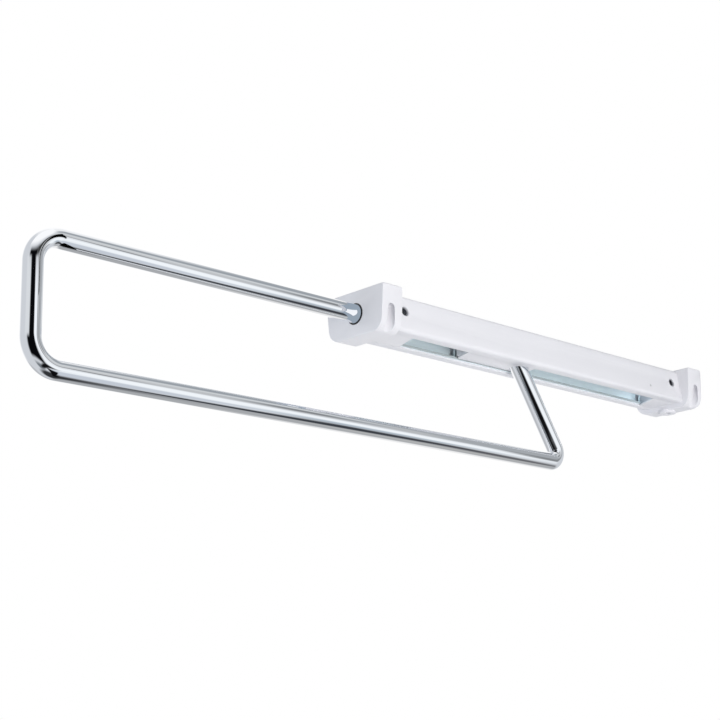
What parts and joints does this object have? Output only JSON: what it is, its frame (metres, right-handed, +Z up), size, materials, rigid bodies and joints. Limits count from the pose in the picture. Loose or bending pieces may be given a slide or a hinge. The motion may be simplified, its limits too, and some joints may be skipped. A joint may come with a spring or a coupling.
{
  "type": "pull-out clothes rail",
  "caption": "Pull-out clothes rail: a bent chrome bar loop that slides on rollers out of a slotted white housing screwed under a shelf between two moulded end caps.",
  "frame": {"origin": "centre of the rectangle of four mounting screw holes, on the top face of the end caps that lies against the shelf", "axes": "+X runs along the housing from the front of the wardrobe, where the loop comes out, to its back; +Y points away from the viewer of the picture; +Z is up, out of the mounting face"},
  "size_m": [0.5905, 0.0518, 0.0936],
  "materials": {
    "cover_white": "satin white coating",
    "rail_zinc": "pale blue zinc plating",
    "cap_white": "smooth moulding",
    "bush_black": "matt moulding",
    "rivet_steel": "zinc plated",
    "bar_chrome": "polished chrome plating",
    "carriage_white": "smooth moulding",
    "axle_steel": "bright steel",
    "buffer_rubber": "matt",
    "roller_nylon": "turned nylon"
  },
  "bodies": {
    "housing": {"cover": "cover_white", "rail": "rail_zinc", "front_cap": "cap_white", "rear_cap": "cap_white", "guide_bush": "bush_black", "front_side_rivets": "rivet_steel", "rear_side_rivets": "rivet_steel", "rail_rivets": "rivet_steel", "boss_screw": "rivet_steel"},
    "loop": {"loop_bar": "bar_chrome", "carriage": "carriage_white", "slot_shoe": "carriage_white", "front_axle": "axle_steel", "rear_axle": "axle_steel", "front_axle_clips": "axle_steel", "rear_axle_clips": "axle_steel", "front_buffers": "buffer_rubber", "rear_buffers": "buffer_rubber"},
    "front_near_roller": {"roller_front_near": "roller_nylon"},
    "front_far_roller": {"roller_front_far": "roller_nylon"},
    "rear_near_roller": {"roller_rear_near": "roller_nylon"},
    "rear_far_roller": {"roller_rear_far": "roller_nylon"}
  },
  "joints": [
    {"name": "loop_slide", "type": "slide", "parent": "housing", "child": "loop", "axis": [1, 0, 0], "range_m": [-0.009, 0.141]},
    {"name": "front_near_spin", "type": "hinge", "parent": "loop", "child": "front_near_roller", "pos_m": [-0.04255, -0.0105, -0.0151], "axis": [0, 1, 0], "range_deg": [-66, 1018]},
    {"name": "front_far_spin", "type": "hinge", "parent": "loop", "child": "front_far_roller", "pos_m": [-0.04255, 0.0105, -0.0151], "axis": [0, 1, 0], "range_deg": [-66, 1018]},
    {"name": "rear_near_spin", "type": "hinge", "parent": "loop", "child": "rear_near_roller", "pos_m": [-0.02155, -0.0105, -0.0151], "axis": [0, 1, 0], "range_deg": [-66, 1018]},
    {"name": "rear_far_spin", "type": "hinge", "parent": "loop", "child": "rear_far_roller", "pos_m": [-0.02155, 0.0105, -0.0151], "axis": [0, 1, 0], "range_deg": [-66, 1018]}
  ],
  "couplings": [
    {"joint": "front_near_spin", "follows": "loop_slide", "rad_per_m": 125.79},
    {"joint": "front_far_spin", "follows": "loop_slide", "rad_per_m": 125.79},
    {"joint": "rear_near_spin", "follows": "loop_slide", "rad_per_m": 125.79},
    {"joint": "rear_far_spin", "follows": "loop_slide", "rad_per_m": 125.79}
  ]
}
